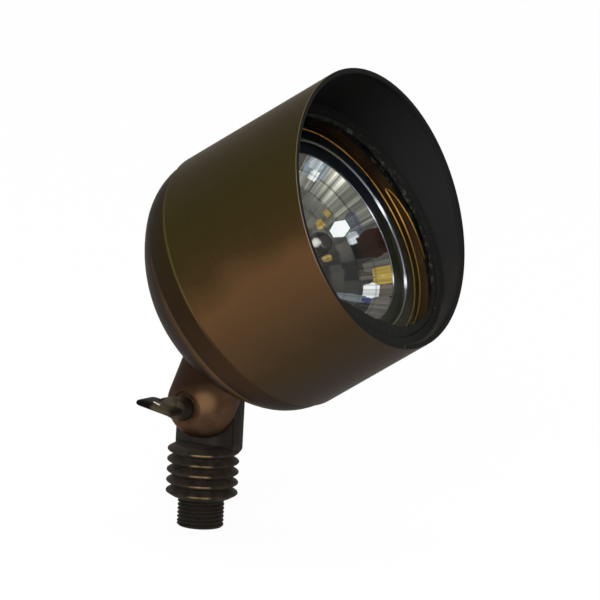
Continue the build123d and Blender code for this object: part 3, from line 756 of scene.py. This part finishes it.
# Painted reflections of two windows glow on each side of the bead as short glints, at its middle and
# below it. The rest of the bead glows faintly, and is painted dimmer at its top and bottom.
upper = (angle - 0.455).step(-0.045, 0.0) * (0.455 - angle).step(-0.045, 0.0)
lower = (angle - 0.71).step(-0.035, 0.0) * (0.71 - angle).step(-0.035, 0.0)
painted_glint = upper.larger(lower)
bright = smear.step(0.3, 0.7).blend((98, 100, 106), (172, 174, 182))
painted_dimming = angle.step(0.72, 0.8).larger(1.0 - angle.step(0.22, 0.38))
painted_glow = painted_dimming.blend((62, 62, 68), (34, 34, 30))
coat(
    s, painted_dimming.blend(bright, (92, 92, 80)), 0.1 + smear * 0.1, metal=1.0,
    light=painted_glint.blend(painted_glow, (244, 242, 255)), strength=1.0,
)
cover_back = 42.6
cover_front = 45.9
cover_radius = 57.1
crown_radius = 47.0
crown_foot = 45.0
crown_rise = 0.8
cover_corners = [(0, cover_back), (cover_radius, cover_back), (cover_radius, cover_front)]
cover_corners += [(crown_radius + 1.1, cover_front), (crown_radius, crown_foot)]
cover_profile = rounded(cover_corners, 0.35)
crown = np.linspace(1, 0, 24)[:, None] * crown_radius
crown_height = crown_foot + crown_rise * (1 - (crown / crown_radius) ** 2)
crown_profile = np.concatenate([crown, crown_height], 1)
section = np.linspace(0, 2 * np.pi, 25)[:-1]
bead_profile = np.stack([47.2 + 0.75 * np.cos(section), 45.3 + 0.55 * np.sin(section)], 1)
edge_profile = np.stack([41.75 + 0.3 * np.cos(section), 42.9 + 0.26 * np.sin(section)], 1)
shape(
    "cover_glass",
    [
        (spun(cover_profile, 180), False, 0),
        (spun(crown_profile, 180), False, 0),
        (spun(bead_profile, 180), True, 1),
        (spun(edge_profile, 180), True, 1),
    ],
    [cover_finish, bead_finish],
    "head",
    "lamp_cover",
)

# Spring wire
# Round bronze spring wire wound a little over once round the lamp's rim. Its front end turns back in a
# hairpin and runs out as a tail against the spigot. It is sprung in by hand and holds the lamp down.
wire_radius = 0.34
# Each point of its path is a turn in degrees, a radius and a place along the beam.
coil_turn = np.linspace(80, 530, 46)
coil_radius = np.interp(coil_turn, [80, 180, 400], [53.3, 53.6, 51.9])
coil_place = np.interp(coil_turn, [80, 400], [48.6, 46.5])
coil = np.stack([coil_turn, coil_radius, coil_place], 1)
tail = [(113, 56.7, 50.7), (105, 56.7, 50.7), (97, 56.7, 50.6), (89, 56.7, 50.2), (82, 56.5, 49.5)]
hairpin = [(77.5, 55.9, 48.9), (75.2, 55.0, 48.5), (75.6, 54.0, 48.4)]
keys = np.concatenate([tail, hairpin, coil])


def smooth_path(keys, steps):
    """Points on a curve through the keys: on each span a cubic, whose slope at each end is half of the
    way from the key before that end to the key after it."""
    padded = np.concatenate([2 * keys[:1] - keys[1:2], keys, 2 * keys[-1:] - keys[-2:-1]])
    t = np.linspace(0, 1, steps, endpoint=False)[None, :, None]
    a, b, c, d = (padded[i : len(padded) - 3 + i][:, None] for i in range(4))
    curve = b + 0.5 * t * (c - a + t * (2 * a - 5 * b + 4 * c - d + t * (3 * (b - c) + d - a)))
    return np.concatenate([curve.reshape(-1, keys.shape[1]), keys[-1:]])


path = smooth_path(keys, 12)
swing = np.radians(path[:, 0])
path = np.stack([path[:, 1] * np.cos(swing), -path[:, 1] * np.sin(swing), path[:, 2]], 1)
path = np.concatenate([path[:1], path, path[-1:]])
run = np.gradient(path, axis=0)
run[[0, -1]] = run[[1, -2]]
run = unit(run)
across = unit(np.cross(run, np.array([0, 0, 1.0])))
lift = np.cross(across, run)
thick = np.full((len(path), 1, 1), wire_radius)
thick[[0, -1]] = 0
section = np.linspace(0, 2 * np.pi, 12, endpoint=False)[None, :, None]
round_wire = across[:, None] * np.cos(section) + lift[:, None] * np.sin(section)
wire_grid = (path[:, None] + thick * round_wire) @ head_axes + seam
wire_finish, s = finish("spring_bronze")
place, *_, angle = head_parts(s)
heat = place.noise(70, 4)
golden = heat.step(0.3, 0.7).blend((172, 116, 42), (206, 152, 68))
coat(
    s, angle.step(0.5, 0.66).blend(golden, (164, 134, 60)),
    0.22 + heat * 0.12, metal=1.0, bump=heat, depth=0.00002,
)
shape("spring_wire", [(wire_grid, False, 0)], [wire_finish], "head", "lamp_spring_wire")

# Hood
# A plain bronze tube with a slanted mouth, slipped over the spigot. Outside it is brushed round and
# chemically aged, olive on top and coppery below, where a painted highlight band brightens the copper
# on the side towards the lamp; inside it is painted matt black.
hood_radius = 62.05
hood_inner = 60.25
hood_length = 72.9
slant = math.tan(math.radians(12.6))
hood_turn = math.radians(10.4)
hood_columns = 256
rear = 0.3
wall_middle = (hood_radius + hood_inner) / 2
black_edge = 61.9
drip_radius = 59.85
set_screw_place = 22.0
tube = [(wall_middle, rear), (hood_radius, rear), (hood_radius, hood_length)]
outer_profile = rounded([*tube, (black_edge, hood_length)], 0.3)
middle = np.stack([np.full(30, hood_radius), np.linspace(rear + 1, hood_length - 1, 30)], 1)
outer_profile = np.concatenate([outer_profile[:10], middle, outer_profile[10:]])
# Inside the end of the wall a low lip makes the wall look thicker than the tube is.
drip = [(black_edge, hood_length), (drip_radius, hood_length), (drip_radius, hood_length - 1.0)]
drip.append((hood_inner, hood_length - 2.2))
inner_profile = rounded([*drip, (hood_inner, rear), (wall_middle, rear)], 0.3)
turn = np.linspace(0, 2 * np.pi, hood_columns, endpoint=False)[None]


def hood_grid(profile):
    """Grid of the tube: each row leans in step with its place on the beam, from square at the rear to
    the plane of the mouth, which rises by the slant times the height above the middle."""
    lean = profile[:, :1] * slant * np.cos(turn + hood_turn)
    places = profile[:, 1:] * (1 + lean / hood_length)
    places = np.where(profile[:, 1:] < 1.0, profile[:, 1:], places)
    return turned(profile[:, :1], places, hood_columns, head_axes, seam)


def behind_mouth(up, side, along):
    """Distance along the beam back from the mouth's plane, in metres."""
    height = math.cos(hood_turn) * up - math.sin(hood_turn) * side
    return hood_length * 0.001 - along + slant * height


hood_finish, s = finish("hood_bronze")
place, up, side, along, angle = head_parts(s)
streak = s.node("Mapping", {}, {"Vector": place, "Scale": (1, 1, 30)}).noise(55, 6)
cloud = place.noise(24, 2)
fine = s.node("Mapping", {}, {"Vector": place, "Scale": (1, 1, 14)}).noise(320, 2)
spread = angle + (cloud - 0.5) * 0.14 + (streak - 0.5) * 0.012
# The patina's brightest copper band is a painted highlight on the side towards the lamp.
patina = s.node(
    "ValToRGB",
    {
        "stops": [
            (0.0, (63, 57, 34)),
            (0.2, (53, 47, 18)),
            (0.32, (50, 44, 14)),
            (0.43, (55, 45, 18)),
            (0.49, (64, 48, 25)),
            (0.57, (97, 69, 43)),
            (0.65, (84, 61, 39)),
            (0.76, (62, 48, 30)),
            (0.87, (55, 48, 38)),
            (1.0, (52, 48, 43)),
        ]
    },
    {"Fac": spread},
)
colour = (streak.step(0.4, 0.75) * 0.06).blend(patina, (98, 78, 54))
# The mouth's outer edge is worn, and painted with a bright hair line of caught light, except at the
# bottom.
hair = (0.00045 - behind_mouth(up, side, along)).step(0.0, 0.0003) * (1.0 - angle.step(0.52, 0.68))
hair_colour = angle.step(0.3, 0.55).blend((132, 126, 84), (168, 146, 134))
colour = (hair * 0.65).blend(colour, hair_colour)
coat(
    s, colour, 0.42 + streak * 0.1, metal=0.6, bump=streak * 0.6 + fine * 0.4, depth=0.00003,
    shine=0.2, tint=bronze_tint,
)
black_finish, s = finish("hood_black")
place, up, side, along, angle = head_parts(s)
chalk = place.noise(26, 2)
grit = place.noise(2200, 2)
# Painted light and shade: the inside is painted near black at the top, grey at the sides, paler lower
# down and darker again at the bottom.
colour = angle.step(0.1, 0.52).blend((10, 9, 8), (46, 46, 47))
colour = (angle.step(0.6, 0.72) * 0.6).blend(colour, (62, 59, 54))
colour = angle.step(0.78, 0.92).blend(colour, (33, 32, 29))
# A paler band lies in the corner between the wall and the lens ring, at the bottom.
colour = ((0.0612 - along).step(0.0, 0.004) * angle.step(0.72, 0.81)).blend(colour, (70, 66, 60))
# The end of the wall and its lip are painted black, and read as a black line.
colour = (0.0005 - behind_mouth(up, side, along)).step(0.0, 0.0003).blend(colour, (13, 11, 10))
coat(
    s, (chalk * 0.25).blend(colour, (30, 29, 29)), 0.62 + chalk * 0.15, bump=grit, depth=0.00003,
    shine=0.1,
)
hood_piece = shape(
    "hood_tube",
    [(hood_grid(outer_profile), False, 0), (hood_grid(inner_profile), False, 1)],
    [hood_finish, black_finish],
    "hood",
    "hood",
    50,
)
# A weep notch at the mouth's lowest point and the hole for the set screw are drilled through the wall.
lowest = head_axes.T @ np.array([-math.cos(hood_turn), math.sin(hood_turn), 0])
screw_axes = np.stack([beam, np.cross(lowest, beam), lowest])
notch_place = hood_length - hood_radius * slant
notch_radius = 1.2
set_screw_hole = 1.505
drill_length = 5.0
drills = bmesh.new()
for place_along, drill_radius in ((notch_place, notch_radius), (set_screw_place, set_screw_hole)):
    turn_to = Matrix(screw_axes.T.tolist()).to_4x4()
    turn_to.translation = (seam + beam * place_along + lowest * wall_middle) * 0.001
    bmesh.ops.create_cone(
        drills,
        cap_ends=True,
        segments=40,
        radius1=drill_radius * 0.001,
        radius2=drill_radius * 0.001,
        depth=drill_length * 0.001,
        matrix=turn_to,
    )
drill_mesh = bpy.data.meshes.new("drills")
drills.to_mesh(drill_mesh)
drill_mesh.polygons.foreach_set("material_index", np.ones(len(drill_mesh.polygons), int))
drills.free()
drill = bpy.data.objects.new("drills", drill_mesh)
bpy.context.scene.collection.objects.link(drill)
holes = hood_piece.modifiers.new("holes", "BOOLEAN")
holes.object = drill
holes.solver = "EXACT"


def apply_changes(piece):
    """Keeps what a piece's modifiers make of it as its mesh, and takes them away."""
    changed = piece.evaluated_get(bpy.context.evaluated_depsgraph_get())
    piece.data = bpy.data.meshes.new_from_object(changed)
    piece.modifiers.clear()


apply_changes(hood_piece)
hood_piece.data.set_sharp_from_angle(angle=math.radians(50))
bpy.data.objects.remove(drill)

# Lens ring and set screw
# A flat bronze ring soldered into the hood and painted black, chipped along its inner edge, and the
# small socket screw under the hood that holds it on the spigot.
ring_finish, s = finish("ring_black")
place, up, side, _, angle = head_parts(s)
radius = (up.square() + side.square()).root()
chip = place.noise(420, 6, 0.7)
patch = place.noise(90, 3)
flecks = chip.step(0.56, 0.62) * (0.0585 - radius).step(0.0, 0.003)
flecks = flecks * patch.step(0.48, 0.6) * angle.step(0.05, 0.25)
paint = patch.blend((24, 24, 22), (44, 43, 40))
# Painted shade: the ring is painted near black at the top and darker at the bottom.
colour = angle.step(0.12, 0.45).blend((9, 9, 8), paint)
colour = angle.step(0.7, 0.85).blend(colour, (21, 21, 19))
# The paler band in the corner at the wall lies on the ring too.
colour = (radius.step(0.0581, 0.0598) * angle.step(0.72, 0.81)).blend(colour, (70, 66, 60))
coat(s, flecks.blend(colour, (96, 94, 88)), 0.7 + chip * 0.2, bump=chip, depth=0.0001, shine=0.15)
dress("lens_ring", ring_finish)
screw_radius = 1.5
screw_foot = 59.9
screw_top = 62.04
socket_floor = 61.96
screw_corners = [(0, screw_foot), (screw_radius, screw_foot), (screw_radius, screw_top)]
screw_corners += [(0.8, screw_top), (0.75, socket_floor), (0, socket_floor)]
screw_profile = rounded(screw_corners, 0.03)
screw_seat = seam + beam * set_screw_place
screw_grid = spun(screw_profile, 48, screw_axes, screw_seat)
shape("hood_screw", [(screw_grid, False, 0)], [hood_finish], "hood", "hood_set_screw")

# Front gasket
# Black silicone run in between the ring and the lens by hand: its inner edge is uneven, with crumbs of
# grey dust on it, and a low bead of it stands up along the ring.
gasket_columns = 720
gasket_radius = 59.6
glass_front = 54.34
ring_back = 55.28
turn = np.linspace(0, 2 * np.pi, gasket_columns, endpoint=False)[None]
# The uneven edge is a sum of waves round the ring whose counts share no factor.
ragged = 0.22 * np.sin(7 * turn + 1) + 0.2 * np.sin(17 * turn + 4) + 0.15 * np.sin(41 * turn + 2)
ragged = ragged + 0.12 * np.sin(97 * turn + 5) + 0.1 * np.sin(173 * turn + 1) + 0.08 * np.sin(211 * turn)
lip = [(gasket_radius, glass_front), (54.3, glass_front), (53.6, 54.7), (53.5, 55.4), (54.0, 56.1)]
lip += [(54.9, 56.3), (55.3, 55.9), (55.34, ring_back), (gasket_radius, ring_back)]
lip = np.array(lip)[::-1]
loose = np.clip(55.1 - lip[:, :1], 0, 1)
# At the bottom, and most on the near side, the black silicone is drawn further in over the lens as a
# dark band that stands in for the hood's shadow there.
shadow_turns = [115, 136, 164, 175, 189, 206, 220]
shadow_reach = np.interp(np.degrees(turn), shadow_turns, [0, 7.4, 7.4, 4.4, 2.4, 0.4, 0])
lip_radius = lip[:, :1] + loose * (ragged * 0.8 - shadow_reach)
lip_place = lip[:, 1:] + loose * np.roll(ragged, 90, 1) * 0.3
gasket_grid = turned(lip_radius, lip_place, gasket_columns, head_axes, seam)
shape("lens_gasket", [(gasket_grid, True, 0)], [gasket_finish], "hood", "front_gasket", 70)
dress("rear_gasket", gasket_finish)

# Lens
# A flat disc of clear tempered glass between the two gaskets.
lens_finish = clear_glass("lens_glass", (0.95, 0.96, 0.955, 1), 1.1)
dress("lens", lens_finish)

# Thumb screw and washer
# A bronze screw with one crowned wing, which is the tilt pivot and clamps the joint by hand. It is cast,
# so all its edges are soft and the wing flows into the boss. A plain washer lies under its boss.
boss_foot = 18.17
wing_rise = math.radians(9.5)
wing_way = np.array([-math.cos(wing_rise), 0, math.sin(wing_rise)])
wing_axes = np.stack([wing_way, near, np.cross(wing_way, near)])
hinge = np.array([0, 0, hinge_height])
boss_axes = np.stack([np.array([1.0, 0, 0]), np.array([0, 0, 1.0]), near])
shank_radius = 4.0
shank_length = 26.4
boss_corners = [(0, -shank_length), (shank_radius, -shank_length), (shank_radius, 0), (4.9, 0)]
boss_corners += [(5.7, 2.2), (5.6, 5.0), (4.6, 7.4), (2.6, 8.3), (0, 8.4)]
boss_profile = rounded(boss_corners, 0.6)
boss_grid = spun(boss_profile, 64, boss_axes, hinge + near * boss_foot)
neck_profile = rounded([(0, -2.0), (5.0, 0), (4.9, 3.0), (3.7, 6.6), (2.0, 10.0), (0, 11.0)], 1.2)
neck_axes = np.stack([wing_axes[2], wing_axes[1], wing_way])
neck_foot = hinge + near * (boss_foot + 5.6)
neck_grid = spun(neck_profile, 48, neck_axes, neck_foot)
# The wing is its outline, drawn in towards its middle in steps while it rises to the crown.
bend = np.linspace(-np.pi / 2, np.pi / 2, 25)[:, None]
wing_outline = rounded([(-3.4, 4.2), (-3.4, 17.3), (16.2, 17.0), (15.2, 4.2), (-3.4, 4.2)], 1.8, 12)
wing_outline = wing_outline[1:]
wing_middle = np.array([7.0, 7.6])
wing_half = 1.7
drawn_in = 1 - 0.42 * (1 - np.cos(bend)) * np.abs(np.sin(bend))
spread = wing_middle + (wing_outline - wing_middle) * drawn_in[..., None]
level = np.broadcast_to(wing_half * np.sin(bend)[..., None], spread.shape[:2] + (1,))
crowns = np.array([[[*wing_middle, -wing_half]], [[*wing_middle, wing_half]]])
crowns = np.broadcast_to(crowns, (2, len(wing_outline), 3))
wing_rows = np.concatenate([crowns[:1], np.concatenate([spread, level], -1), crowns[1:]])
wing_grid = wing_rows @ wing_axes + hinge + near * boss_foot
thumb_finish, s = finish("thumb_bronze")
place = s.node("TexCoord", {}, {}, 3)
x, y, z = parts_of(s, place)
mottle = place.noise(240, 5)
grain = place.noise(1600, 3)
boss = (0.00008 - x.square() - (z - hinge_height * 0.001).square()).step(0.0, 0.00004)
wing_colour = mottle.blend((17, 15, 14), (26, 23, 21))
boss_colour = mottle.blend((70, 62, 49), (92, 82, 66))
colour = boss.blend(wing_colour, boss_colour)
# The boss's right side is painted darker, as shade where it rounds into the arm.
colour = (x.step(-0.001, 0.004) * boss).blend(colour, (42, 34, 29))
# A painted highlight glows as a short streak along the wing's crown.
along_streak = x + 0.0068
off_streak = y + 0.0315 + along_streak * 0.314
painted_glint_streak = (0.0000006 - off_streak.square()).step(0.0, 0.0000005)
painted_glint_streak = painted_glint_streak * (0.000005 - along_streak.square()).step(0.0, 0.000002) * z.step(0.0565, 0.058)
coat(
    s, colour, 0.34 + mottle * 0.14, metal=0.3, bump=grain, depth=0.00003, shine=0.03,
    tint=(0.3, 0.27, 0.23, 1), light=painted_glint_streak.blend((0, 0, 0), (214, 208, 192)), strength=1.0,
)
thumb = shape(
    "thumb_casting",
    [(boss_grid, False, 0), (neck_grid, False, 0), (wing_grid, False, 0)],
    [thumb_finish],
    "thumb_screw",
    "thumb_screw",
)
# The three forms are drawn again as one skin of small cells, which is then evened out.
cells = thumb.modifiers.new("cells", "REMESH")
cells.mode = "VOXEL"
cells.voxel_size = 0.0003
even = thumb.modifiers.new("even", "SMOOTH")
even.iterations = 16
apply_changes(thumb)
thumb.data.polygons.foreach_set("use_smooth", np.ones(len(thumb.data.polygons), bool))
thumb.data.materials.clear()
thumb.data.materials.append(thumb_finish)
dress("thumb_washer", arm_finish)

# Floor, light and camera
# A plain white floor and surround, one large soft lamp near the camera, and a long lens.


def seen_straight(shade):
    """1 for rays from the camera, a mirror or glass, and 0 for those that only carry light."""
    direct = shade.node("LightPath", {}, {})
    rays = direct.socket.node.outputs
    glossy = Shade(shade.tree, rays["Is Glossy Ray"])
    through = Shade(shade.tree, rays["Is Transmission Ray"])
    return direct.larger(glossy.larger(through))


floor_finish, s = finish("floor_white")
diffuse = s.node("BsdfDiffuse", {}, {"Color": (0.86, 0.86, 0.86, 1)})
glow = s.node("Emission", {}, {"Color": (1, 1, 1, 1), "Strength": 1.08})
mixed = s.node("MixShader", {}, {0: seen_straight(s) * 0.86, 1: diffuse, 2: glow})
s.node("OutputMaterial", {}, {"Surface": mixed})
floor_mesh = bpy.data.meshes.new("floor")
floor_half = 6
floor_level = -0.0003
floor_ends = (-floor_half, floor_half)
floor_corners = [(x, y, floor_level) for x in floor_ends for y in floor_ends]
floor_mesh.from_pydata(floor_corners, [], [(0, 2, 3, 1)])
floor_mesh.materials.append(floor_finish)
floor = bpy.data.objects.new("floor", floor_mesh)
bpy.context.scene.collection.objects.link(floor)

world = bpy.data.worlds.new("surround")
bpy.context.scene.world = world
world.use_nodes = True
world.node_tree.nodes.clear()
s = Shade(world.node_tree)
glow = 0.5 + seen_straight(s) * 0.5
background = s.node("Background", {}, {"Color": (1, 1, 1, 1), "Strength": glow})
s.node("OutputWorld", {}, {"Surface": background})

azimuth = math.radians(30.0)
elevation = math.radians(11.0)
roll = math.radians(3.0)
camera_distance = 4.0
lamp_distance = 1.5
level = np.array([math.cos(azimuth), math.sin(azimuth), 0])
towards = np.array([math.sin(azimuth), -math.cos(azimuth), 0])
back = towards * math.cos(elevation) + np.array([0, 0, math.sin(elevation)])
rise = np.cross(back, level)
picture_right = level * math.cos(roll) + rise * math.sin(roll)
picture_up = rise * math.cos(roll) - level * math.sin(roll)
target = seam * 0.001 + 0.01836 * picture_right - 0.00894 * picture_up


def stand(name, data, spot, right, up, backwards):
    """Puts a lamp or camera at a spot, looking against its backwards direction."""
    made = bpy.data.objects.new(name, data)
    turn = np.eye(4)
    turn[:3, :3] = np.stack([right, up, backwards], 1)
    turn[:3, 3] = spot
    made.matrix_world = Matrix(turn.tolist())
    bpy.context.scene.collection.objects.link(made)
    return made


lamp = bpy.data.lights.new("soft_lamp", "AREA")
lamp.shape = "RECTANGLE"
lamp.size = 0.9
lamp.size_y = 0.7
lamp.energy = 9
lamp_back = unit(back * 0.95 + rise * 0.2 - level * 0.1)
lamp_right = unit(np.cross(rise, lamp_back))
lamp_spot = target + lamp_back * lamp_distance
stand("soft_lamp", lamp, lamp_spot, lamp_right, np.cross(lamp_back, lamp_right), lamp_back)

camera = bpy.data.cameras.new("camera")
camera.lens = 541.2
camera.sensor_width = 36
camera.clip_end = 50
camera_spot = target + back * camera_distance
bpy.context.scene.camera = stand("camera", camera, camera_spot, picture_right, picture_up, back)
bpy.context.scene.view_settings.view_transform = "Standard"
